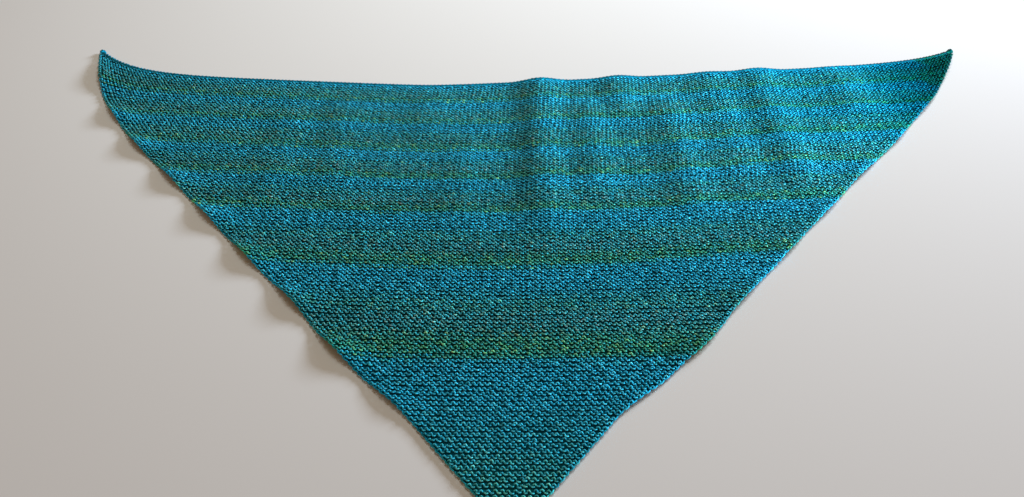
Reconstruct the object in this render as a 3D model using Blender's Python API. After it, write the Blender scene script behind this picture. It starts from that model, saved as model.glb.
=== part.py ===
"""A knitted triangular shawl, laid out flat with its long edge away from the viewer.

Metres, +Z up, +X to the viewer's right and +Y away from the viewer. The origin is on the surface that
the shawl lies on, under the middle of its box. The cloth is garter stitch, worked from the tip upward:
each ridge is two stitches wider than the last, so a place on it is named by its ridge and its wale,
the column of stitches counted from the middle.
"""

import math

import bmesh
import bpy

# The knitting
STITCH = 0.0050
RIDGE_PITCH = 0.0051
FIRST_RIDGE = 1.5
LAST_RIDGE = 120.0
TIP_Y = -0.3573

# The wall of cloth, measured up from its own underside
VALLEY_THICKNESS = 0.0022
CREST_THICKNESS = 0.0034
EDGE_THICKNESS = 0.0014

# The rows bow upward towards both ends, and the last ones flare up into the two corners
LOW_POINT_SHIFT = -26.0
BOW_LEFT = 0.035
BOW_RIGHT = 0.066
BOW_POWER = 2.2
BOW_SOFTNESS = 0.08
FLARE_LEFT = 0.059
FLARE_RIGHT = 0.030
FLARE_SHARPNESS_LEFT = 8
FLARE_SHARPNESS_RIGHT = 12
FLARE_START = 106.0
FLARE_POWER = 1.6

# Where the middle of each row lies, and how far its stitches are stretched: ridge, x, stretch
ROW_TABLE = (
    (0.0, -0.0205, 0.920),
    (20.0, -0.0200, 0.885),
    (29.0, -0.0170, 0.970),
    (36.0, -0.0150, 0.992),
    (44.0, -0.0150, 0.970),
    (60.0, -0.0150, 0.982),
    (75.0, -0.0135, 0.990),
    (93.0, -0.0102, 1.008),
    (108.0, -0.0045, 1.002),
    (121.0, 0.0, 1.000),
)

# The cloth's waves run away from the viewer: x, near end y, far end y, height, half width, fade
WAVES = (
    (0.017, 0.060, 0.400, 0.0060, 0.025, 0.150),
    (0.075, 0.070, 0.190, 0.0040, 0.024, 0.060),
    (0.121, 0.215, 0.400, 0.0040, 0.024, 0.050),
    (0.180, 0.040, 0.190, 0.0040, 0.026, 0.060),
    (0.246, 0.080, 0.270, 0.0035, 0.030, 0.060),
    (0.310, 0.080, 0.400, 0.0050, 0.027, 0.060),
    (0.420, 0.215, 0.270, 0.0035, 0.030, 0.050),
    (-0.080, 0.015, 0.130, 0.0020, 0.026, 0.060),
    (-0.122, 0.155, 0.215, 0.0020, 0.026, 0.050),
    (-0.230, 0.075, 0.190, 0.0025, 0.027, 0.060),
    (-0.296, 0.055, 0.160, 0.0025, 0.027, 0.060),
)
FLAT_BELOW = 0.0004

# The slanting edges lift off the surface in shallow scallops
SCALLOP_RIDGES = 11.5
SCALLOP_PHASE = 5.8
SCALLOP_LEFT = 0.0060
SCALLOP_RIGHT = 0.0025
SCALLOP_DEPTH = 5.0
SCALLOP_START = 16.0

# The columns of points that carry the waves, as wales, and those kept near the plain tip
WAVE_WALES = (
    -112, -108, -100, -92, -78, -66, -59, -52, -46, -40, -31, -24, -16, -8, -2,
    4, 10, 15, 20, 24, 30, 36, 42, 49, 56, 63, 70, 77, 85, 93, 100, 106, 112,
)
TIP_WALES = (-40, -24, -8, 10, 24, 42)
WAVES_FROM_RIDGE = 48.0
EDGE_COLUMNS = (0.0, 0.6, 5.0)
UNDER_EDGE_COLUMNS = (0.0, 5.0)
CLEAR_OF_EDGE = 7.5
VALLEY_NOTCH = 0.55
UNDERSIDE_STEP = 2

# The cast-off cord along the long edge
CORD_RADIUS = 0.0022
SEAM_GAP = 0.0003


def smooth_step(value, start, end):
    """0 before start, 1 past end, and a smooth rise between them."""
    t = min(max((value - start) / (end - start), 0.0), 1.0)
    return t * t * (3.0 - 2.0 * t)


def row_values(ridge):
    """A row's middle x and its stretch, read from ROW_TABLE."""
    for (low, low_x, low_stretch), (high, high_x, high_stretch) in zip(ROW_TABLE, ROW_TABLE[1:]):
        if ridge <= high:
            break
    t = smooth_step(ridge, low, high)
    return low_x + (high_x - low_x) * t, low_stretch + (high_stretch - low_stretch) * t


def row_rise(ridge, wale):
    """How far a row has risen above its lowest point, towards one end."""
    grown = ridge / LAST_RIDGE
    low_point = LOW_POINT_SHIFT * grown**2
    flared = (max(ridge - FLARE_START, 0.0) / (LAST_RIDGE - FLARE_START)) ** FLARE_POWER
    if wale < low_point:
        along = (low_point - wale) / (low_point + ridge)
        bow = BOW_LEFT
        flare = FLARE_LEFT * along**FLARE_SHARPNESS_LEFT
    else:
        along = (wale - low_point) / (ridge - low_point)
        bow = BOW_RIGHT
        flare = FLARE_RIGHT * along**FLARE_SHARPNESS_RIGHT
    return bow * grown**BOW_POWER * along**2 / (along + BOW_SOFTNESS) + flare * flared


def wave_height(x, y):
    """How far the waves lift the cloth at one place. It is exactly 0 where the cloth lies flat."""
    total = 0.0
    for wave_x, near_y, far_y, height, half_width, fade in WAVES:
        across = math.exp(-(((x - wave_x) / half_width) ** 2))
        inside = smooth_step(y, near_y - fade, near_y) * (1.0 - smooth_step(y, far_y, far_y + fade))
        total += height * across * inside
    return max(total - FLAT_BELOW, 0.0)


def scallop_height(ridge, wale):
    """How far a slanting edge lifts, fading away from that edge and towards the tip."""
    from_edge = (ridge - abs(wale)) / SCALLOP_DEPTH
    height = SCALLOP_LEFT if wale < 0 else SCALLOP_RIGHT
    turn = 2.0 * math.pi * (ridge - SCALLOP_PHASE) / SCALLOP_RIDGES
    lifted = height * (0.5 - 0.5 * math.cos(turn)) * math.exp(-(from_edge**2))
    lifted *= smooth_step(ridge, SCALLOP_START, 2.0 * SCALLOP_START)
    return max(lifted - FLAT_BELOW, 0.0)


def cloth_point(ridge, wale, thickness):
    """A point of the cloth, that far above its underside."""
    middle_x, stretch = row_values(ridge)
    x = middle_x + wale * STITCH * stretch
    y = TIP_Y + ridge * RIDGE_PITCH + row_rise(ridge, wale)
    return (x, y, wave_height(x, y) + scallop_height(ridge, wale) + thickness)


def row_wales(ridge, edge_columns):
    """The wales of one row's points from left to right: its two edges and the columns between them."""
    columns = WAVE_WALES if ridge >= WAVES_FROM_RIDGE else TIP_WALES
    inner = [wale for wale in columns if abs(wale) < ridge - CLEAR_OF_EDGE]
    edges = [ridge - inset for inset in edge_columns if inset < ridge]
    return [-wale for wale in edges] + inner + edges[::-1]


def upper_rows(bm):
    """The knitted face: a crest for every garter ridge, and a valley between each two."""
    rows = []
    for half in range(round(2 * FIRST_RIDGE), round(2 * LAST_RIDGE) + 1):
        ridge = half / 2.0
        crest = half % 2 == 0
        thickness = CREST_THICKNESS if crest else VALLEY_THICKNESS
        notch = 0.0 if crest else VALLEY_NOTCH
        row = []
        for wale in row_wales(ridge, EDGE_COLUMNS):
            outermost = abs(wale) == ridge
            reach = wale * (ridge - notch) / ridge if outermost else wale
            height = EDGE_THICKNESS if outermost else thickness
            row.append((wale, bm.verts.new(cloth_point(ridge, reach, height))))
        rows.append((ridge, row))
    return rows


def under_rows(bm):
    """The plain underside, which follows the waves and lies on the surface everywhere else."""
    ridges = [FIRST_RIDGE, *range(UNDERSIDE_STEP, round(LAST_RIDGE) + 1, UNDERSIDE_STEP)]
    rows = []
    for ridge in ridges:
        wales = row_wales(ridge, UNDER_EDGE_COLUMNS)
        rows.append((ridge, [(wale, bm.verts.new(cloth_point(ridge, wale, 0.0))) for wale in wales]))
    return rows


def join_lines(bm, first, second):
    """Fills the strip between two lines of (position, vertex) that may have unlike numbers of points."""
    i = j = 0
    while i < len(first) - 1 or j < len(second) - 1:
        first_next = first[i + 1][0] if i < len(first) - 1 else math.inf
        second_next = second[j + 1][0] if j < len(second) - 1 else math.inf
        if first_next <= second_next:
            bm.faces.new((first[i][1], first[i + 1][1], second[j][1]))
            i += 1
        else:
            bm.faces.new((first[i][1], second[j + 1][1], second[j][1]))
            j += 1


def join_rows(bm, rows):
    """Fills the strips between each row and the next."""
    for (_, lower), (_, upper) in zip(rows, rows[1:]):
        join_lines(bm, lower, upper)


def side_line(rows, end):
    """The line of vertices along one slanting edge, each with its ridge."""
    return [(ridge, row[end][1]) for ridge, row in rows]


def knit_panel(material):
    """The whole garter-stitch triangle, as one wall of cloth."""
    bm = bmesh.new()
    upper = upper_rows(bm)
    under = under_rows(bm)
    join_rows(bm, upper)
    join_rows(bm, under)
    for end in (0, -1):
        join_lines(bm, side_line(upper, end), side_line(under, end))
        join_lines(bm, upper[end][1], under[end][1])
    bmesh.ops.recalc_face_normals(bm, faces=bm.faces)
    return finished_object("knit_panel", bm, material)


def cord_points():
    """The middle of the cast-off cord, beside the last row and level with the middle of the cloth."""
    offset = CORD_RADIUS + SEAM_GAP
    step = 0.01
    points = []
    for wale in row_wales(LAST_RIDGE, EDGE_COLUMNS):
        x, y, z = cloth_point(LAST_RIDGE, wale, CORD_RADIUS)
        before = cloth_point(LAST_RIDGE, max(wale - step, -LAST_RIDGE), 0.0)
        after = cloth_point(LAST_RIDGE, min(wale + step, LAST_RIDGE), 0.0)
        slope = math.atan2(after[1] - before[1], after[0] - before[0])
        points.append((x - offset * math.sin(slope), y + offset * math.cos(slope), z))
    return points


def cast_off_edge(material):
    """The cast-off edge: a rounded cord along the whole long edge, from corner to corner."""
    points = cord_points()
    curve = bpy.data.curves.new("cast_off_edge", "CURVE")
    curve.dimensions = "3D"
    curve.bevel_depth = CORD_RADIUS
    curve.bevel_resolution = 2
    curve.use_fill_caps = True
    spline = curve.splines.new("POLY")
    spline.points.add(len(points) - 1)
    for point, place in zip(spline.points, points):
        point.co = (*place, 1.0)
    edge = bpy.data.objects.new("cast_off_edge", curve)
    edge.data.materials.append(material)
    return edge


def finished_object(name, bm, material):
    """Makes an object with one material from a bmesh."""
    mesh = bpy.data.meshes.new(name)
    bm.to_mesh(mesh)
    bm.free()
    mesh.materials.append(material)
    return bpy.data.objects.new(name, mesh)


def yarn_material(name, colour):
    """Matt yarn in one colour."""
    material = bpy.data.materials.new(name)
    material.use_nodes = True
    shader = material.node_tree.nodes["Principled BSDF"]
    shader.inputs["Base Color"].default_value = (*colour, 1.0)
    shader.inputs["Roughness"].default_value = 0.9
    shader.inputs["Metallic"].default_value = 0.0
    return material


def main():
    for old in list(bpy.data.objects):
        bpy.data.objects.remove(old, do_unlink=True)
    shawl = bpy.data.collections.new("triangular_shawl")
    bpy.context.scene.collection.children.link(shawl)
    shawl.objects.link(knit_panel(yarn_material("striped_yarn", (0.020, 0.190, 0.250))))
    shawl.objects.link(cast_off_edge(yarn_material("cast_off_yarn", (0.010, 0.120, 0.130))))


main()
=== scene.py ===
"""The looks of a knitted triangular shawl that lies flat: base cloth, stitches, floor, light and camera.

Metres, +Z up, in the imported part's own frame. The shawl is garter stitch, worked from the tip upward. A place
on it is named by its ridge, counted from the tip, and its wale, the column of stitches counted from the middle.
A stitch's share is its place in its ridge's two rows, one there and one back, from 0 to 1.
"""

import math

import bpy
import numpy as np
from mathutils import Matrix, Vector


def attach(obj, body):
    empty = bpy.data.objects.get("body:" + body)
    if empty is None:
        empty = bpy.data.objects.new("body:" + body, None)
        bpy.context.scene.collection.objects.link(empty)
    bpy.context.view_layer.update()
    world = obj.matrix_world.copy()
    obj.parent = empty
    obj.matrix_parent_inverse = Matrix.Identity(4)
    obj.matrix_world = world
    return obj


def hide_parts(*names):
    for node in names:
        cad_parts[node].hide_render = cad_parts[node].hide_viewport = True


MM = 0.001
SEED = 11

# The knitting, as in the part's own source
STITCH = 0.0050
RIDGE_PITCH = 0.0051
FIRST_RIDGE = 1.5
LAST_RIDGE = 120.0
TIP_Y = -0.3573

# The rows bow upward towards both ends, and the last ones flare up into the two corners
LOW_POINT_SHIFT = -26.0
BOW_LEFT = 0.035
BOW_RIGHT = 0.066
BOW_POWER = 2.2
BOW_SOFTNESS = 0.08
FLARE_LEFT = 0.059
FLARE_RIGHT = 0.030
FLARE_SHARPNESS_LEFT = 8
FLARE_SHARPNESS_RIGHT = 12
FLARE_START = 106.0
FLARE_POWER = 1.6

# Where the middle of each row lies, and how far its stitches are stretched: ridge, x, stretch
ROW_TABLE = (
    (0.0, -0.0205, 0.920),
    (20.0, -0.0200, 0.885),
    (29.0, -0.0170, 0.970),
    (36.0, -0.0150, 0.992),
    (44.0, -0.0150, 0.970),
    (60.0, -0.0150, 0.982),
    (75.0, -0.0135, 0.990),
    (93.0, -0.0102, 1.008),
    (108.0, -0.0045, 1.002),
    (121.0, 0.0, 1.000),
)

# The cloth's waves run away from the viewer: x, near end y, far end y, height, half width, fade
WAVES = (
    (0.017, 0.060, 0.400, 0.0060, 0.025, 0.150),
    (0.075, 0.070, 0.190, 0.0040, 0.024, 0.060),
    (0.121, 0.215, 0.400, 0.0040, 0.024, 0.050),
    (0.180, 0.040, 0.190, 0.0040, 0.026, 0.060),
    (0.246, 0.080, 0.270, 0.0035, 0.030, 0.060),
    (0.310, 0.080, 0.400, 0.0050, 0.027, 0.060),
    (0.420, 0.215, 0.270, 0.0035, 0.030, 0.050),
    (-0.080, 0.015, 0.130, 0.0020, 0.026, 0.060),
    (-0.122, 0.155, 0.215, 0.0020, 0.026, 0.050),
    (-0.230, 0.075, 0.190, 0.0025, 0.027, 0.060),
    (-0.296, 0.055, 0.160, 0.0025, 0.027, 0.060),
)
FLAT_BELOW = 0.0004

# The slanting edges lift off the surface in shallow scallops
SCALLOP_RIDGES = 11.5
SCALLOP_PHASE = 5.8
SCALLOP_LEFT = 0.0060
SCALLOP_RIGHT = 0.0025
SCALLOP_DEPTH = 5.0
SCALLOP_START = 16.0

# One stitch's two arcs, as points (across, up the cloth, height) in mm: the loop's head, and the arc that
# joins two stitches, which hooks behind the heads beside it
HEAD_ARC = (
    (-1.50, -1.20, 0.80),
    (-1.65, 0.10, 1.75),
    (-1.00, 1.30, 2.70),
    (0.35, 1.50, 2.90),
    (1.30, 0.30, 2.60),
    (1.50, -1.20, 1.50),
)
LINK_ARC = (
    (-1.50, 1.00, 1.40),
    (-1.15, -0.35, 2.55),
    (0.00, -1.40, 3.00),
    (1.50, -1.10, 2.60),
    (2.20, 0.50, 1.00),
)
YARN_RADIUS = 0.00074
YARN_SIDES = 4

# How far one stitch differs from the next, in place and height, and in size as a share
PLACE_JITTER = 0.00034
HEIGHT_JITTER = 0.00018
SIZE_JITTER = 0.08

# The bands that the stitches are joined into, by their first ridges
BAND_STARTS = (2, 59, 84, 102, 116)

# The slanting edges' turning loops, as points (outward, along the edge in ridges, height) in mm but for ridges
EDGE_LOOP = (
    (-2.60, -0.45, 1.00),
    (-1.00, -0.35, 1.70),
    (-0.10, 0.0, 1.60),
    (-0.90, 0.40, 1.80),
    (-2.60, 0.50, 1.10),
)

# The cast-off edge's cord beside the last row, and its gap to the cloth
CORD_RADIUS = 0.0022
SEAM_GAP = 0.0003

# Its core, which lies a little inward, and the two strands of each stitch over it, as points (along the edge,
# outward, height) in mm, sunk by some more of them
CHAIN_CORE_RADIUS = 0.0021
CHAIN_CORE_INSET = 0.0006
CHAIN_STRAND = (
    (-2.0, 0.40, 2.2),
    (-1.1, 1.90, 2.8),
    (0.9, 2.10, 3.1),
    (2.2, 0.40, 2.9),
)
CHAIN_STRAND_SINK = 0.4
CHAIN_STRAND_RADIUS = 0.0010
CHAIN_SIDES = 6

# The small knot that closes each corner: its wale, its coil's radius, turns, start and rise, by what share the
# coil narrows over the upper half of that rise, and its yarn's radius
KNOT_PLACE = 119.2
KNOT_RADIUS = 0.0030
KNOT_TURNS = 2.5
KNOT_START = 0.0012
KNOT_RISE = 0.0052
KNOT_NARROWING = 0.8
KNOT_YARN = 0.0013
KNOT_POINTS = 31

# The base cloth that the stitches stand on: the mean height of its face and the depth of the ribs on both
# faces, its rows' distance in ridges, its points' distance in wales, and how far it stays inside the edges
BASE_HEIGHT = 0.0010
BASE_RIB = 0.0003
UNDER_RIB = 0.00015
BASE_ROWS_APART = 0.5
BASE_WALES_APART = 3.0
BASE_EDGE_INSET = 0.35

# How far yarn stands out, from 0 at the hidden height to 1 at the crowns', sets its painted shade and highlight
HIDDEN_HEIGHT = 0.0009
CROWN_HEIGHT = 0.0030

# The height at which yarn counts as standing for its painted shade, where it is one height all along a piece
EDGE_TONE_HEIGHT = 0.0023
CHAIN_TONE_HEIGHT = 0.0021
CHAIN_CORE_TONE_HEIGHT = 0.0016
KNOT_LEFT_TONE = 0.0022
KNOT_RIGHT_TONE = 0.0012

# How far the base cloth counts as standing out, from 0 to 1, which lightens its painted shade: its underside, and
# its face in the tip, which fades between two ridges
UNDER_TONE_LIFT = 0.75
TIP_TONE_LIFT = 0.26
TIP_RIDGES = (16.0, 44.0)

# The stitches at the top right get less painted highlight on their crowns and less painted shade between them:
# from which wales and ridges, by what share lower their crowns count as standing, and how far the cloth between
# them counts as standing out, from 0 to 1
CALM_WALES = (35.0, 75.0)
CALM_RIDGES = (84.0, 100.0)
CALM_CROWNS = 0.08
CALM_VALLEYS = 0.35

# The yarn's stripes: the ridges at which its colours start over, and where in a repeat the tip starts
STRIPE_RIDGES = (32.6, 55.4, 71.2, 82.6, 93.1, 103.7, 113.0, 121.4, 129.5)
TIP_PHASE = 0.47

# The stripes lie a little higher at the two ends of the middle rows: by how many ridges, over which part of each
# half row, from 0 in the middle to 1 at its end, and on which ridges this starts and stops
LATE_RIGHT = 1.8
LATE_LEFT = 0.6
LATE_RIGHT_PART = (0.3, 0.8)
LATE_LEFT_PART = (0.4, 0.9)
LATE_FROM = (40.0, 55.0)
LATE_TO = (95.0, 112.0)

# The right corner is knitted in the green of the repeat, and it is darker, as its yarn counts as standing lower:
# between which wales each begins, the green's share of a repeat, and by what share lower its yarn counts as
# standing, for its tone
GREEN_WALES = (99.0, 113.0)
DARK_WALES = (82.0, 116.0)
CORNER_GREEN = 0.12
CORNER_DARKNESS = 0.57

# The colours of the two plies and of the flecks, as 8-bit sRGB at places in a repeat
MAIN_PLY = (
    (0.00, (50, 151, 140)),
    (0.06, (84, 153, 110)),
    (0.14, (84, 150, 115)),
    (0.22, (78, 144, 135)),
    (0.30, (86, 142, 143)),
    (0.42, (74, 145, 147)),
    (0.49, (68, 147, 133)),
    (0.58, (32, 145, 158)),
    (0.75, (12, 152, 180)),
    (0.94, (20, 155, 179)),
    (1.00, (40, 151, 150)),
)
OTHER_PLY = (
    (0.00, (30, 134, 137)),
    (0.12, (30, 134, 139)),
    (0.30, (30, 144, 157)),
    (0.49, (30, 144, 160)),
    (0.62, (15, 147, 170)),
    (0.80, (10, 154, 178)),
    (0.97, (10, 154, 182)),
)
FLECK_PLY = (
    (0.00, (168, 188, 112)),
    (0.16, (160, 176, 118)),
    (0.28, (156, 148, 150)),
    (0.46, (140, 180, 150)),
    (0.64, (90, 190, 200)),
    (0.97, (100, 200, 225)),
)

# Noise is given by its scale and detail. The repeat drifts along the yarn, and the colours wander inside it, each
# by up to half of this share of a repeat either way; the main ply's wander less, by this factor
DRIFT_NOISE = (0.004, 1.0)
REPEAT_DRIFT = 0.06
WANDER_NOISE = (0.02, 2.0)
COLOUR_WANDER = 0.16
MAIN_WANDER = 0.6

# Where the noise passes from the first limit to the second, the yarn turns from its main ply to the other one, or
# shows flecks, up to this share. The start is the place along the yarn that a noise is read from
PLY_NOISE = (0.45, 2.0)
PLY_LIMITS = (0.38, 0.62)
FLECK_START = 5000.0
FLECK_NOISE = (0.8, 2.0)
FLECK_LIMITS = (0.58, 0.70)
FLECK_SHARE = 0.7

# The tone varies from stitch to stitch, from fibre to fibre and slowly from batch to batch: the noise's two
# limits, the tone at the first, and the gain up to the second
STITCH_START = 9000.0
STITCH_NOISE = (0.8, 2.0)
STITCH_TONES = (0.25, 0.75, 0.7, 1.0)
FIBRE_NOISE = (900.0, 3.0)
FIBRE_TONES = (0.3, 0.7, 0.6, 0.8)
BATCH_START = 3000.0
BATCH_NOISE = (0.025, 3.0)
BATCH_TONES = (0.3, 0.7, 0.82, 0.36)

# Painted shade: the tone of yarn that lies deep, and the gain and power by which it grows as the yarn stands out
PAINTED_SHADE_TONE = 0.25
LIFT_GAIN = 1.8
LIFT_POWER = 1.6
# The base cloth between the stitches is drawn darker: painted shade in the gaps
RECESS_PAINTED_SHADE = 0.6

# Painted shade and painted highlight: yarn is deeper in colour between the stitches, where shade falls, and paler
# on their crowns, where they catch the light. The highlight's share grows with this power of the yarn's height
PAINTED_SHADE_TINT = (0.0, 0.98, 1.12, 1.0)
PAINTED_HIGHLIGHT = (0.60, 0.60, 0.60, 1.0)
PAINTED_HIGHLIGHT_SHARE = 0.08
PAINTED_HIGHLIGHT_POWER = 3.0

# The bumps drawn on the base cloth: their mean, the share of the ridges and of the stitches in them, and the gain
# and least value by which they change how far the cloth counts as standing out, and so its painted shade
RELIEF_MEAN = 0.5
RIDGE_RELIEF = 0.35
STITCH_RELIEF = 0.15
RELIEF_LIFT = (0.8, 0.6)

# The yarn's surface; a bump is given by its strength and its height
YARN_ROUGHNESS = 0.5
YARN_SPECULAR = 0.2
YARN_SPECULAR_TINT = (0.1, 0.9, 1.0, 1.0)
FUZZ_NOISE = (2500.0, 2.0)
FUZZ_BUMP = (0.5, 0.0002)
RELIEF_BUMP = (1.0, 0.0012)

# The floor lies just below the cloth
FLOOR_SIZE = 8.0
FLOOR_LEVEL = -0.0002
FLOOR_COLOUR = (226, 222, 220)
FLOOR_ROUGHNESS = 0.9

# The photo's camera, worked out from the perspective of the stitches
CAMERA_PLACE = (-0.0203, -0.6183, 0.5635)
CAMERA_DOWN = math.radians(44.57)
FOCAL_PIXELS = 769.0
PHOTO_WIDTH = 1024.0
SENSOR_WIDTH = 36.0

# Soft lamps: name, place, aim, size, beam in degrees, power and colour. The cloth and the floor have their own,
# so that the cloth shows the window's sheen and the floor its soft shadows
CLOTH_LAMPS = (
    ("cloth_window", (1.30, -0.08, 0.27), (0.0, 0.28, 0.0), (0.45, 0.30), 100.0, 11.0, (0.22, 0.82, 1.0)),
    ("cloth_sky", (0.3, 0.2, 1.6), (0.0, 0.0, 0.0), (3.0, 3.0), 180.0, 8.9, (0.87, 0.96, 0.98)),
)
FLOOR_LAMPS = (
    ("floor_window", (1.88, 2.00, 0.85), (0.0, 0.0, 0.0), (1.0, 0.6), 180.0, 132.0, (0.75, 0.865, 1.0)),
    ("floor_sky", (0.0, 0.8, 1.2), (0.0, 0.48, 0.0), (0.6, 0.6), 180.0, 8.5, (0.84, 0.93, 0.90)),
)
ROOM_COLOUR = (0.217, 0.145, 0.083, 1.0)


def smooth_step(value, start, end):
    """0 before start, 1 past end, and a smooth rise between them."""
    t = np.clip((value - start) / (end - start), 0.0, 1.0)
    return t * t * (3.0 - 2.0 * t)


def row_values(ridge):
    """Each row's middle x and its stretch, read from ROW_TABLE."""
    knots, middles, stretches = np.array(ROW_TABLE).T
    low = np.clip(np.searchsorted(knots, ridge) - 1, 0, len(knots) - 2)
    t = smooth_step(ridge, knots[low], knots[low + 1])
    middle_x = middles[low] + (middles[low + 1] - middles[low]) * t
    return middle_x, stretches[low] + (stretches[low + 1] - stretches[low]) * t


def row_rise(ridge, wale):
    """How far a row has risen above its lowest point, towards one end."""
    grown = ridge / LAST_RIDGE
    low_point = LOW_POINT_SHIFT * grown**2
    flared = (np.maximum(ridge - FLARE_START, 0.0) / (LAST_RIDGE - FLARE_START)) ** FLARE_POWER
    left = wale < low_point
    along = np.where(left, (low_point - wale) / (low_point + ridge), (wale - low_point) / (ridge - low_point))
    bow = np.where(left, BOW_LEFT, BOW_RIGHT)
    flare = np.where(left, FLARE_LEFT * along**FLARE_SHARPNESS_LEFT, FLARE_RIGHT * along**FLARE_SHARPNESS_RIGHT)
    return bow * grown**BOW_POWER * along**2 / (along + BOW_SOFTNESS) + flare * flared


def wave_height(x, y):
    """How far the waves lift the cloth."""
    total = np.zeros_like(x)
    for wave_x, near_y, far_y, height, half_width, fade in WAVES:
        across = np.exp(-(((x - wave_x) / half_width) ** 2))
        inside = smooth_step(y, near_y - fade, near_y) * (1.0 - smooth_step(y, far_y, far_y + fade))
        total += height * across * inside
    return np.maximum(total - FLAT_BELOW, 0.0)


def scallop_height(ridge, wale):
    """How far a slanting edge lifts, fading away from that edge and towards the tip."""
    from_edge = (ridge - np.abs(wale)) / SCALLOP_DEPTH
    height = np.where(wale < 0, SCALLOP_LEFT, SCALLOP_RIGHT)
    turn = 2.0 * math.pi * (ridge - SCALLOP_PHASE) / SCALLOP_RIDGES
    lifted = height * (0.5 - 0.5 * np.cos(turn)) * np.exp(-(from_edge**2))
    lifted *= smooth_step(ridge, SCALLOP_START, 2.0 * SCALLOP_START)
    return np.maximum(lifted - FLAT_BELOW, 0.0)


def cloth_points(ridge, wale, height):
    """Points of the cloth, that far above its underside, as an array with a last axis of 3."""
    ridge, wale, height = np.broadcast_arrays(ridge, wale, height)
    middle_x, stretch = row_values(ridge)
    x = middle_x + wale * STITCH * stretch
    y = TIP_Y + ridge * RIDGE_PITCH + row_rise(ridge, wale)
    return np.stack((x, y, wave_height(x, y) + scallop_height(ridge, wale) + height), axis=-1)


def row_share(side):
    """The share of a stitch in the first of its ridge's two rows, from its side: -1 is left and 1 is right."""
    return 0.25 + 0.25 * side


def row_side(share):
    """The side of a stitch in its row, from -1 at the left end to 1 at the right one."""
    return 1.0 - 4.0 * np.abs(share - 0.5)


def yarn_used(ridge, share):
    """The yarn that is in the shawl before a stitch, in stitches."""
    return 2.0 * (ridge - 1.0) * ridge + 4.0 * ridge * share


def corner_share(ridge, share, wales):
    """How far a stitch is into the right corner, from 0 at the first of two wales to 1 at the second."""
    return smooth_step(ridge * row_side(share), *wales)


def corner_tone(ridge, share):
    """What the yarn's height is multiplied by for its tone, 1 but for the right corner."""
    return 1.0 - CORNER_DARKNESS * corner_share(ridge, share, DARK_WALES)


def calm_share(ridge, wale):
    """How far a stitch is into the calm top right, from 0 to 1."""
    return smooth_step(wale, *CALM_WALES) * smooth_step(ridge, *CALM_RIDGES)


def stripe_phase(ridge, share):
    """How many colour repeats of yarn went into the shawl before a stitch, and its place along the yarn.

    A row's length of yarn grows with its ridge, so the yarn used grows with the square.
    """
    side = row_side(share)
    late = LATE_RIGHT * smooth_step(side, *LATE_RIGHT_PART) + LATE_LEFT * smooth_step(-side, *LATE_LEFT_PART)
    late *= smooth_step(ridge, *LATE_FROM) * (1.0 - smooth_step(ridge, *LATE_TO))
    ends = np.array((0.0,) + STRIPE_RIDGES)
    phases = np.arange(len(ends), dtype=float)
    phases[0] = TIP_PHASE
    phase = np.interp(yarn_used(ridge - late, share), 2.0 * ends**2, phases)
    phase += corner_share(ridge, share, GREEN_WALES) * (np.round(phase) + CORNER_GREEN - phase)
    return phase, yarn_used(ridge, share)


def mesh_object(name, vertices, faces_by_size, attributes):
    """Makes a smooth-shaded object from arrays.

    They are its vertices, its faces grouped by their number of corners, and named values for each vertex.
    """
    mesh = bpy.data.meshes.new(name)
    mesh.vertices.add(len(vertices))
    mesh.vertices.foreach_set("co", vertices.astype(np.float32).ravel())
    corners = np.concatenate([faces.ravel() for faces in faces_by_size])
    sizes = np.concatenate([np.full(len(faces), faces.shape[1]) for faces in faces_by_size])
    mesh.loops.add(len(corners))
    mesh.loops.foreach_set("vertex_index", corners.astype(np.int32))
    mesh.polygons.add(len(sizes))
    mesh.polygons.foreach_set("loop_start", np.concatenate(([0], np.cumsum(sizes)[:-1])).astype(np.int32))
    mesh.polygons.foreach_set("use_smooth", np.ones(len(sizes), dtype=bool))
    for attribute_name, values in attributes.items():
        attribute = mesh.attributes.new(attribute_name, "FLOAT", "POINT")
        attribute.data.foreach_set("value", values.astype(np.float32))
    mesh.update(calc_edges=True)
    piece = bpy.data.objects.new(name, mesh)
    bpy.context.scene.collection.objects.link(piece)
    return piece


def bean_mesh(paths, radii, sides):
    """Closed tubes along many paths at once, as (vertices, faces by size, vertices in each tube).

    A path's first and last points are its tube's tips. The paths are (tubes, points, 3) and the radii are
    (tubes, points).
    """
    tubes, points, _ = paths.shape
    rings = points - 2
    tangent = paths[:, 2:] - paths[:, :-2]
    tangent /= np.linalg.norm(tangent, axis=-1, keepdims=True)
    side = np.cross(tangent, (0.0, 0.0, 1.0))
    side /= np.linalg.norm(side, axis=-1, keepdims=True)
    over = np.cross(side, tangent)
    angle = 2.0 * math.pi * np.arange(sides) / sides
    ring = np.cos(angle)[:, None] * side[:, :, None] + np.sin(angle)[:, None] * over[:, :, None]
    ring = paths[:, 1:-1, None] + radii[:, 1:-1, None, None] * ring
    vertices = np.concatenate((ring.reshape(tubes, rings * sides, 3), paths[:, :1], paths[:, -1:]), axis=1)
    here = np.arange(sides)
    after = (here + 1) % sides
    starts = sides * np.arange(rings - 1)[:, None]
    quads = np.stack((starts + here, starts + after, starts + sides + after, starts + sides + here), axis=-1)
    last_ring = (rings - 1) * sides
    first_tip = rings * sides
    last_tip = first_tip + 1
    tips = np.concatenate((
        np.stack((after, here, np.full(sides, first_tip)), axis=-1),
        np.stack((last_ring + here, last_ring + after, np.full(sides, last_tip)), axis=-1),
    ))
    in_each = rings * sides + 2
    offsets = in_each * np.arange(tubes)[:, None, None]
    all_quads = (quads.reshape(1, -1, 4) + offsets).reshape(-1, 4)
    all_tips = (tips[None] + offsets).reshape(-1, 3)
    return vertices.reshape(-1, 3), [all_quads, all_tips], in_each


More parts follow.
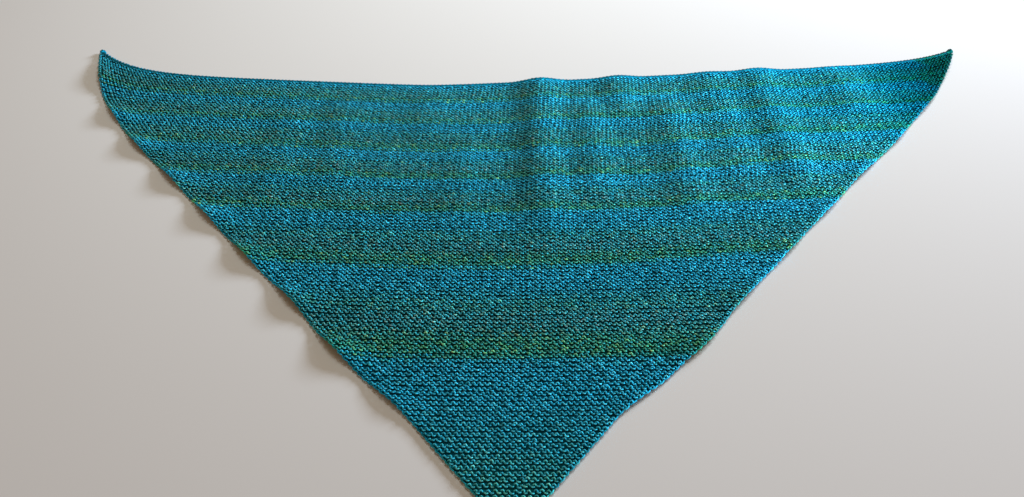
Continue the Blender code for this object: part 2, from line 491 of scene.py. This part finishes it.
def joined(parts):
    """Joins several (vertices, faces by size, attributes) into one such group."""
    vertices = np.concatenate([part[0] for part in parts])
    starts = np.cumsum([0] + [len(part[0]) for part in parts[:-1]])
    faces = [group + start for part, start in zip(parts, starts) for group in part[1]]
    attributes = {name: np.concatenate([part[2][name] for part in parts]) for name in parts[0][2]}
    return vertices, faces, attributes


def at_vertices(values, in_each):
    """Values at the points of many tubes' paths, as values at the tubes' vertices."""
    sides = (in_each - 2) // (values.shape[1] - 2)
    around = np.repeat(values[:, 1:-1], sides, axis=1)
    return np.concatenate((around, values[:, :1], values[:, -1:]), axis=1).ravel()


def colours(phase, used, in_each, heights):
    """What the yarn's material needs at each vertex of many tubes, from values at the points of their paths.

    They are the yarn's colour phase, its place along the yarn, and how far it stands out, which sets its painted
    shade and highlight.
    """
    lift = np.maximum((heights - HIDDEN_HEIGHT) / (CROWN_HEIGHT - HIDDEN_HEIGHT), 0.0)
    needed = {"phase": phase, "yarn": used, "lift": lift}
    return {name: at_vertices(np.broadcast_to(values, lift.shape), in_each) for name, values in needed.items()}


def even_colours(ridge, share, in_each, points, height):
    """The colours of tubes whose yarn counts as standing at one height all along, each tube with its own share."""
    phase, used = stripe_phase(ridge, share)
    heights = np.repeat((height * corner_tone(ridge, share))[:, None], points, axis=1)
    return colours(phase[:, None], used[:, None], in_each, heights)


def arcs(ridge, wale, share, profile, generator):
    """One arc of yarn for each stitch, with small differences between stitches, as mesh arrays and attributes."""
    profile = np.array(profile) * MM
    count = len(ridge)
    grown = 1.0 + generator.normal(0.0, SIZE_JITTER, (count, 1, 1))
    stretch = row_values(ridge)[1][:, None]
    moved = generator.normal(0.0, 1.0, (count, 1, 3)) * (PLACE_JITTER, PLACE_JITTER, HEIGHT_JITTER)
    local = profile[None] * np.concatenate((grown, grown, np.ones_like(grown)), axis=-1) + moved
    point_ridges = ridge[:, None] + local[..., 1] / RIDGE_PITCH
    point_wales = wale[:, None] + local[..., 0] / (STITCH * stretch)
    paths = cloth_points(point_ridges, point_wales, local[..., 2])
    radii = np.full(paths.shape[:2], YARN_RADIUS) * grown[..., 0]
    vertices, faces, in_each = bean_mesh(paths, radii, YARN_SIDES)
    phase, used = stripe_phase(ridge, share)
    # The stitches' heights set their painted shade and highlight: they count as lower in the right corner, and
    # their crowns get less painted highlight in the top right
    tone = corner_tone(ridge, share) * (1.0 - CALM_CROWNS * calm_share(ridge, wale))
    heights = profile[:, 2] * tone[:, None]
    return vertices, faces, colours(phase[:, None], used[:, None], in_each, heights)


def stitch_band(name, first, last, generator):
    """The stitches of the ridges from first up to last, joined into one piece."""
    heads, links = [], []
    for ridge in range(first, last + 1):
        count = 2 * round(ridge * float(row_values(float(ridge))[1]))
        width = 2.0 * ridge / count
        places = np.arange(count)
        head_wales = (places + 0.5) * width - ridge
        heads.append((np.full(count, float(ridge)), head_wales, 0.5 * places / count))
        between = np.arange(count - 1)
        link_wales = (between + 1.0) * width - ridge
        links.append((np.full(count - 1, float(ridge)), link_wales, 1.0 - 0.5 * between / count))
    parts = []
    for group, profile in ((heads, HEAD_ARC), (links, LINK_ARC)):
        ridge, wale, share = (np.concatenate(values) for values in zip(*group))
        parts.append(arcs(ridge, wale, share, profile, generator))
    return mesh_object(name, *joined(parts))


def edge_loops(generator):
    """The loops of yarn that turn round each slanting edge, one for each ridge."""
    profile = np.array(EDGE_LOOP)
    ridges = np.arange(float(BAND_STARTS[0]), LAST_RIDGE)
    parts = []
    for side in (-1.0, 1.0):
        jitter = generator.normal(0.0, PLACE_JITTER, (len(ridges), len(profile)))
        along = ridges[:, None] + profile[:, 1]
        outward = along + (profile[:, 0] * MM + jitter) / STITCH
        paths = cloth_points(along, side * outward, profile[:, 2] * MM)
        radii = np.full(paths.shape[:2], YARN_RADIUS)
        vertices, faces, in_each = bean_mesh(paths, radii, YARN_SIDES)
        attributes = even_colours(ridges, row_share(side), in_each, len(profile), EDGE_TONE_HEIGHT)
        parts.append((vertices, faces, attributes))
    return mesh_object("edge_loops", *joined(parts))


def base_rows(ridges, height, rib_height):
    """Rows of points across the cloth, ribbed, with the wales that lie inside each row and its two ends."""
    rows = []
    for ridge in ridges:
        end = ridge - BASE_EDGE_INSET
        reach = int((end - 0.5 * BASE_WALES_APART) // BASE_WALES_APART)
        inner = BASE_WALES_APART * np.arange(-reach, reach + 1)
        wales = np.concatenate(([-end], inner, [end]))
        rib = rib_height * math.cos(2.0 * math.pi * ridge)
        rows.append((ridge, wales, cloth_points(ridge, wales, height + rib)))
    return rows


def numbered(rows, first):
    """The same rows as (ridge, its points as pairs of wale and index), counted on from the first index."""
    lines = []
    for ridge, wales, _ in rows:
        lines.append((ridge, list(zip(wales, range(first, first + len(wales))))))
        first += len(wales)
    return lines


def zipped(first, second):
    """Triangles between two rows of (position, index) that may have unlike numbers of points."""
    triangles = []
    i = j = 0
    while i < len(first) - 1 or j < len(second) - 1:
        first_next = first[i + 1][0] if i < len(first) - 1 else math.inf
        second_next = second[j + 1][0] if j < len(second) - 1 else math.inf
        if first_next <= second_next:
            triangles.append((first[i][1], first[i + 1][1], second[j][1]))
            i += 1
        else:
            triangles.append((first[i][1], second[j + 1][1], second[j][1]))
            j += 1
    return triangles


def wall_triangles(upper, under):
    """The triangles of the closed wall between the numbered rows of a face and those of its underside."""
    triangles = []
    for lower, higher in zip(upper, upper[1:]):
        triangles += zipped(lower[1], higher[1])
    for lower, higher in zip(under, under[1:]):
        triangles += [t[::-1] for t in zipped(lower[1], higher[1])]
    for end, turn in ((0, 1), (-1, -1)):
        side_upper = [(ridge, row[end][1]) for ridge, row in upper]
        side_under = [(ridge, row[end][1]) for ridge, row in under]
        triangles += [t[::turn] for t in zipped(side_under, side_upper)]
        triangles += [t[::turn] for t in zipped(upper[end][1], under[end][1])]
    return np.array(triangles)


def base_cloth():
    """The cloth behind the stitches: one closed wall on the part's form, ribbed on both faces."""
    ridges = np.arange(FIRST_RIDGE, LAST_RIDGE + 0.5 * BASE_ROWS_APART, BASE_ROWS_APART)
    upper = base_rows(ridges, BASE_HEIGHT, BASE_RIB)
    under = base_rows(ridges, UNDER_RIB, UNDER_RIB)
    upper_count = sum(len(row[1]) for row in upper)
    triangles = wall_triangles(numbered(upper, 0), numbered(under, upper_count))
    rows = upper + under
    vertices = np.concatenate([row[2] for row in rows])
    wales = np.concatenate([row[1] for row in rows])
    ridge = np.concatenate([np.full(len(row[1]), row[0]) for row in rows])
    phase, used = stripe_phase(ridge, row_share(wales / ridge))
    # How far the base cloth counts as standing out lightens its painted shade: in the tip, in the calm top right
    # and on the underside
    lift = TIP_TONE_LIFT * (1.0 - smooth_step(ridge, *TIP_RIDGES))
    lift += CALM_VALLEYS * calm_share(ridge, wales) * (1.0 - smooth_step(wales, *DARK_WALES))
    lift[upper_count:] = UNDER_TONE_LIFT
    attributes = {"phase": phase, "yarn": used, "lift": lift, "ridge": ridge, "wale": wales}
    return mesh_object("base_cloth", vertices, [triangles], attributes)


def chain_path(wales):
    """The foot of the cast-off cord's middle at each wale, and its directions along the edge and outward."""
    nearby = 0.05
    row = cloth_points(LAST_RIDGE, wales, 0.0)
    along = cloth_points(LAST_RIDGE, wales + nearby, 0.0) - cloth_points(LAST_RIDGE, wales - nearby, 0.0)
    along[:, 2] = 0.0
    along /= np.linalg.norm(along, axis=1, keepdims=True)
    outward = np.cross((0.0, 0.0, 1.0), along)
    return row + (CORD_RADIUS + SEAM_GAP) * outward, along, outward


def chain_core():
    """The core of the cast-off edge, one tube along the last row, as mesh arrays and attributes."""
    wales = np.arange(-LAST_RIDGE, LAST_RIDGE + 0.5, 1.0)
    middle, _, outward = chain_path(wales)
    path = middle - CHAIN_CORE_INSET * outward + (0.0, 0.0, CORD_RADIUS)
    radii = np.full((1, len(path)), CHAIN_CORE_RADIUS)
    vertices, faces, in_each = bean_mesh(path[None], radii, CHAIN_SIDES)
    share = row_share(wales / LAST_RIDGE)
    phase, used = stripe_phase(LAST_RIDGE, share)
    heights = CHAIN_CORE_TONE_HEIGHT * corner_tone(LAST_RIDGE, share)
    return vertices, faces, colours(phase, used, in_each, heights[None])


def chain_strands(side, generator):
    """The strands on one side of the cast-off edge, one for each stitch, as mesh arrays and attributes."""
    wales = np.arange(-LAST_RIDGE + 0.5, LAST_RIDGE, 1.0)
    middle, along, outward = chain_path(wales)
    profile = np.array(CHAIN_STRAND) * MM
    jitter = generator.normal(0.0, PLACE_JITTER, (len(wales), 1, 1))
    paths = (
        middle[:, None]
        + along[:, None] * (profile[:, 0, None] + jitter)
        + outward[:, None] * side * profile[:, 1, None]
        + np.array((0.0, 0.0, 1.0)) * (profile[:, 2, None] - CHAIN_STRAND_SINK * MM)
    )
    radii = np.full(paths.shape[:2], CHAIN_STRAND_RADIUS)
    vertices, faces, in_each = bean_mesh(paths, radii, YARN_SIDES)
    ridges = np.full(len(wales), LAST_RIDGE)
    attributes = even_colours(ridges, row_share(wales / LAST_RIDGE), in_each, len(profile), CHAIN_TONE_HEIGHT)
    return vertices, faces, attributes


def corner_knot(side, tone_height):
    """The knot at one corner, where the yarn is fastened off: a small upright coil."""
    middle = chain_path(np.array([side * KNOT_PLACE]))[0][0]
    turned = np.linspace(0.0, 2.0 * math.pi * KNOT_TURNS, KNOT_POINTS)
    risen = np.linspace(KNOT_START, KNOT_RISE, KNOT_POINTS)
    narrowed = KNOT_RADIUS * (1.0 - KNOT_NARROWING * smooth_step(risen, 0.5 * KNOT_RISE, KNOT_RISE))
    path = middle + np.stack((narrowed * np.cos(turned), narrowed * np.sin(turned), risen), axis=-1)
    radii = np.full((1, KNOT_POINTS), KNOT_YARN)
    vertices, faces, in_each = bean_mesh(path[None], radii, CHAIN_SIDES)
    phase, used = stripe_phase(LAST_RIDGE, row_share(side))
    return vertices, faces, colours(phase, used, in_each, np.full(radii.shape, tone_height))


def cast_off_chain(generator):
    """The cast-off edge: a core along the last row, two strands of each chain stitch over it, and two knots."""
    parts = [chain_core()]
    for side in (-1.0, 1.0):
        parts.append(chain_strands(side, generator))
    for side, tone_height in ((-1.0, KNOT_LEFT_TONE), (1.0, KNOT_RIGHT_TONE)):
        parts.append(corner_knot(side, tone_height))
    return mesh_object("cast_off_chain", *joined(parts))


def linear(colour):
    """An 8-bit sRGB colour as linear light, with alpha."""
    shares = [value / 255.0 for value in colour]
    return (*(s / 12.92 if s <= 0.04045 else ((s + 0.055) / 1.055) ** 2.4 for s in shares), 1.0)


class Nodes:
    """A material's node tree, with short calls that add a node and link it."""

    def __init__(self, material):
        material.use_nodes = True
        self.tree = material.node_tree
        self.shader = self.tree.nodes["Principled BSDF"]

    def link(self, source, target):
        """Links a source socket to a target socket, or sets the target to a plain value."""
        if isinstance(source, bpy.types.NodeSocket):
            self.tree.links.new(source, target)
        else:
            target.default_value = source

    def attribute(self, name):
        """A value that the mesh holds for each vertex."""
        node = self.tree.nodes.new("ShaderNodeAttribute")
        node.attribute_name = name
        return node.outputs["Fac"]

    def math(self, operation, *values, clamp=False):
        """A Math node on up to three values."""
        node = self.tree.nodes.new("ShaderNodeMath")
        node.operation = operation
        node.use_clamp = clamp
        for value, socket in zip(values, node.inputs):
            self.link(value, socket)
        return node.outputs[0]

    def scaled(self, colour, factor):
        """A colour times a factor, which may pass 1."""
        node = self.tree.nodes.new("ShaderNodeVectorMath")
        node.operation = "SCALE"
        self.link(colour, node.inputs[0])
        self.link(factor, node.inputs["Scale"])
        return node.outputs[0]

    def yarn_noise(self, position, scale, detail):
        """Noise along the length of the yarn."""
        node = self.tree.nodes.new("ShaderNodeTexNoise")
        node.noise_dimensions = "1D"
        self.link(position, node.inputs["W"])
        node.inputs["Scale"].default_value = scale
        node.inputs["Detail"].default_value = detail
        return node.outputs["Fac"]

    def fine_noise(self, scale, detail):
        """Noise in the space round the object."""
        place = self.tree.nodes.new("ShaderNodeTexCoord")
        node = self.tree.nodes.new("ShaderNodeTexNoise")
        self.link(place.outputs["Object"], node.inputs["Vector"])
        node.inputs["Scale"].default_value = scale
        node.inputs["Detail"].default_value = detail
        return node.outputs["Fac"]

    def ramp(self, position, stops):
        """A colour for each share of a repeat of the yarn."""
        node = self.tree.nodes.new("ShaderNodeValToRGB")
        elements = node.color_ramp.elements
        elements[0].position, elements[0].color = stops[0][0], linear(stops[0][1])
        elements[1].position, elements[1].color = stops[-1][0], linear(stops[-1][1])
        for place, colour in stops[1:-1]:
            elements.new(place).color = linear(colour)
        self.link(position, node.inputs["Fac"])
        return node.outputs["Color"]

    def between(self, value, low, high):
        """Maps a value from low..high to 0..1, clamped."""
        node = self.tree.nodes.new("ShaderNodeMapRange")
        self.link(value, node.inputs["Value"])
        node.inputs["From Min"].default_value = low
        node.inputs["From Max"].default_value = high
        return node.outputs["Result"]

    def toned(self, value, low, high, least, gain):
        """Maps a value from low..high to a tone that starts at the least one and grows by the gain, clamped."""
        return self.math("MULTIPLY_ADD", self.between(value, low, high), gain, least)

    def bump(self, height, strength, distance, under=None):
        """A bump whose height runs from 0 to 1 over a distance in metres, on top of another one if given."""
        node = self.tree.nodes.new("ShaderNodeBump")
        node.inputs["Strength"].default_value = strength
        node.inputs["Distance"].default_value = distance
        self.link(height, node.inputs["Height"])
        if under is not None:
            self.link(under, node.inputs["Normal"])
        return node.outputs["Normal"]

    def mix(self, share, first, second, blend="MIX"):
        """Mixes two colours, whose sockets come after the node's plain and vector ones."""
        node = self.tree.nodes.new("ShaderNodeMix")
        node.data_type = "RGBA"
        node.blend_type = blend
        self.link(share, node.inputs[0])
        self.link(first, node.inputs[6])
        self.link(second, node.inputs[7])
        return node.outputs[2]


def knitted_relief(nodes):
    """The bumps of garter stitch, from 0 to 1, out of the cloth's ridges and wales."""
    turn = 2.0 * math.pi
    across_rows = nodes.math("COSINE", nodes.math("MULTIPLY", nodes.attribute("ridge"), turn))
    along_rows = nodes.math("COSINE", nodes.math("MULTIPLY", nodes.attribute("wale"), turn))
    rows = nodes.math("MULTIPLY_ADD", across_rows, -RIDGE_RELIEF, RELIEF_MEAN)
    return nodes.math("MULTIPLY_ADD", along_rows, STITCH_RELIEF, rows)


def yarn_colour(nodes, yarn):
    """Marled self-striping yarn: two plies that change colour along it at their own pace, with flecks."""
    early = nodes.math("SUBTRACT", nodes.attribute("phase"), 0.5 * REPEAT_DRIFT)
    drifted = nodes.math("MULTIPLY_ADD", nodes.yarn_noise(yarn, *DRIFT_NOISE), REPEAT_DRIFT, early)
    share = nodes.math("FRACT", drifted)
    wander_noise = nodes.yarn_noise(yarn, *WANDER_NOISE)
    wander = nodes.math("MULTIPLY_ADD", wander_noise, COLOUR_WANDER, -0.5 * COLOUR_WANDER)
    main_share = nodes.math("MULTIPLY_ADD", wander, MAIN_WANDER, share, clamp=True)
    other_share = nodes.math("ADD", share, wander, clamp=True)
    turned = nodes.between(nodes.yarn_noise(yarn, *PLY_NOISE), *PLY_LIMITS)
    colour = nodes.mix(turned, nodes.ramp(main_share, MAIN_PLY), nodes.ramp(other_share, OTHER_PLY))
    fleck_noise = nodes.yarn_noise(nodes.math("ADD", yarn, FLECK_START), *FLECK_NOISE)
    flecked = nodes.math("MULTIPLY", nodes.between(fleck_noise, *FLECK_LIMITS), FLECK_SHARE)
    return nodes.mix(flecked, colour, nodes.ramp(other_share, FLECK_PLY))


def painted_shade_and_highlight(nodes, colour, lift):
    """The yarn's colour, with painted shade between the stitches and a painted highlight on their crowns."""
    deep = nodes.mix(1.0, colour, PAINTED_SHADE_TINT, blend="MULTIPLY")
    crown = nodes.mix(PAINTED_HIGHLIGHT_SHARE, colour, PAINTED_HIGHLIGHT)
    crown_share = nodes.math("POWER", nodes.between(lift, 0.0, 1.0), PAINTED_HIGHLIGHT_POWER)
    return nodes.mix(crown_share, deep, crown)


def tone_and_painted_shade(nodes, yarn, lift, shade):
    """How light the yarn is: it varies with stitches, fibres and batches, and painted shade makes it darker where
    it lies deep.
    """
    stitch_noise = nodes.yarn_noise(nodes.math("ADD", yarn, STITCH_START), *STITCH_NOISE)
    tone = nodes.toned(stitch_noise, *STITCH_TONES)
    fibre_noise = nodes.fine_noise(*FIBRE_NOISE)
    tone = nodes.math("MULTIPLY", tone, nodes.toned(fibre_noise, *FIBRE_TONES))
    batch_noise = nodes.yarn_noise(nodes.math("ADD", yarn, BATCH_START), *BATCH_NOISE)
    tone = nodes.math("MULTIPLY", tone, nodes.toned(batch_noise, *BATCH_TONES))
    tone = nodes.math("MULTIPLY", tone, shade)
    # Painted shade: darker where the yarn lies deep, lighter as it stands out
    lifted = nodes.math("MULTIPLY_ADD", nodes.math("POWER", lift, LIFT_POWER), LIFT_GAIN, PAINTED_SHADE_TONE)
    return nodes.math("MULTIPLY", tone, lifted)


def yarn_material(name, shade, knitted=False):
    """The yarn's look. A knitted one also draws its stitches, as bumps with painted shade between them, for the
    cloth that is seen from below.
    """
    material = bpy.data.materials.new(name)
    nodes = Nodes(material)
    yarn = nodes.attribute("yarn")
    lift = nodes.attribute("lift")
    normal = nodes.bump(nodes.fine_noise(*FUZZ_NOISE), *FUZZ_BUMP)
    if knitted:
        relief = knitted_relief(nodes)
        # The drawn stitches also set the cloth's painted shade
        lift = nodes.math("MULTIPLY", lift, nodes.math("MULTIPLY_ADD", relief, *RELIEF_LIFT))
        normal = nodes.bump(relief, *RELIEF_BUMP, under=normal)
    colour = painted_shade_and_highlight(nodes, yarn_colour(nodes, yarn), lift)
    tone = tone_and_painted_shade(nodes, yarn, lift, shade)
    nodes.link(nodes.scaled(colour, tone), nodes.shader.inputs["Base Color"])
    nodes.link(normal, nodes.shader.inputs["Normal"])
    nodes.shader.inputs["Roughness"].default_value = YARN_ROUGHNESS
    nodes.shader.inputs["Specular IOR Level"].default_value = YARN_SPECULAR
    nodes.shader.inputs["Specular Tint"].default_value = YARN_SPECULAR_TINT
    return material


def floor():
    """A plain pale floor."""
    bpy.ops.mesh.primitive_plane_add(size=FLOOR_SIZE, location=(0.0, 0.0, FLOOR_LEVEL))
    plane = bpy.context.object
    plane.name = "floor"
    material = bpy.data.materials.new("pale_floor")
    nodes = Nodes(material)
    nodes.shader.inputs["Base Color"].default_value = linear(FLOOR_COLOUR)
    nodes.shader.inputs["Roughness"].default_value = FLOOR_ROUGHNESS
    plane.data.materials.append(material)
    return plane


def area_lamp(name, place, aim, size, beam, power, colour, receivers):
    """A soft lamp that lights only its receivers."""
    lamp = bpy.data.lights.new(name, "AREA")
    lamp.shape = "RECTANGLE"
    lamp.size, lamp.size_y = size
    lamp.spread = math.radians(beam)
    lamp.energy = power
    lamp.color = colour
    holder = bpy.data.objects.new(name, lamp)
    holder.location = place
    holder.rotation_euler = (Vector(place) - Vector(aim)).to_track_quat("Z", "Y").to_euler()
    bpy.context.scene.collection.objects.link(holder)
    lit = bpy.data.collections.new(name + "_receivers")
    for piece in receivers:
        lit.objects.link(piece)
    holder.light_linking.receiver_collection = lit
    holder.visible_camera = False


def lights(cloth, ground):
    """A cool window and a soft sky, as two lamps for the cloth and two for the floor, and a warm dim room."""
    for lamp in CLOTH_LAMPS:
        area_lamp(*lamp, cloth)
    for lamp in FLOOR_LAMPS:
        area_lamp(*lamp, ground)
    world = bpy.data.worlds.new("room")
    world.use_nodes = True
    background = world.node_tree.nodes["Background"]
    background.inputs["Color"].default_value = ROOM_COLOUR
    background.inputs["Strength"].default_value = 1.0
    bpy.context.scene.world = world


def camera():
    """The photo's viewpoint."""
    data = bpy.data.cameras.new("camera")
    data.sensor_width = SENSOR_WIDTH
    data.lens = FOCAL_PIXELS * SENSOR_WIDTH / PHOTO_WIDTH
    view = bpy.data.objects.new("camera", data)
    view.location = CAMERA_PLACE
    view.rotation_euler = (math.pi / 2 - CAMERA_DOWN, 0.0, 0.0)
    bpy.context.scene.collection.objects.link(view)
    bpy.context.scene.camera = view


def shawl():
    """The dressed shawl: base cloth, bands of stitches, edge loops and cast-off chain."""
    generator = np.random.default_rng(SEED)
    stitches = yarn_material("striped_yarn", 1.0)
    # The base cloth between the stitches is drawn darker: painted shade in the gaps
    recessed = yarn_material("recessed_yarn_painted_shade", RECESS_PAINTED_SHADE, knitted=True)
    base = base_cloth()
    base.data.materials.append(recessed)
    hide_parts("knit_panel")
    bands = []
    ends = [start - 1 for start in BAND_STARTS[1:]] + [round(LAST_RIDGE)]
    for number, (first, last) in enumerate(zip(BAND_STARTS, ends), 1):
        bands.append(stitch_band(f"stitch_band_{number}", first, last, generator))
    loops = edge_loops(generator)
    chain = cast_off_chain(generator)
    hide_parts("cast_off_edge")
    for piece in (*bands, loops, chain):
        piece.data.materials.append(stitches)
    for piece in (base, *bands, loops, chain):
        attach(piece, "root")
    return [base, *bands, loops, chain]


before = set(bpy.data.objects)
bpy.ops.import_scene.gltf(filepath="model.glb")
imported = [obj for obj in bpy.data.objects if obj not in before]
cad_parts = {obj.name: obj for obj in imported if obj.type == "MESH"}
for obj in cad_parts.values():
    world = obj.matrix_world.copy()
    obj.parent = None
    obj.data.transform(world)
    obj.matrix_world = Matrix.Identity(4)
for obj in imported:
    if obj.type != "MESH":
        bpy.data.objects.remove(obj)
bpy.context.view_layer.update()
lights(shawl(), [floor()])
camera()
bpy.context.scene.view_settings.view_transform = "Standard"
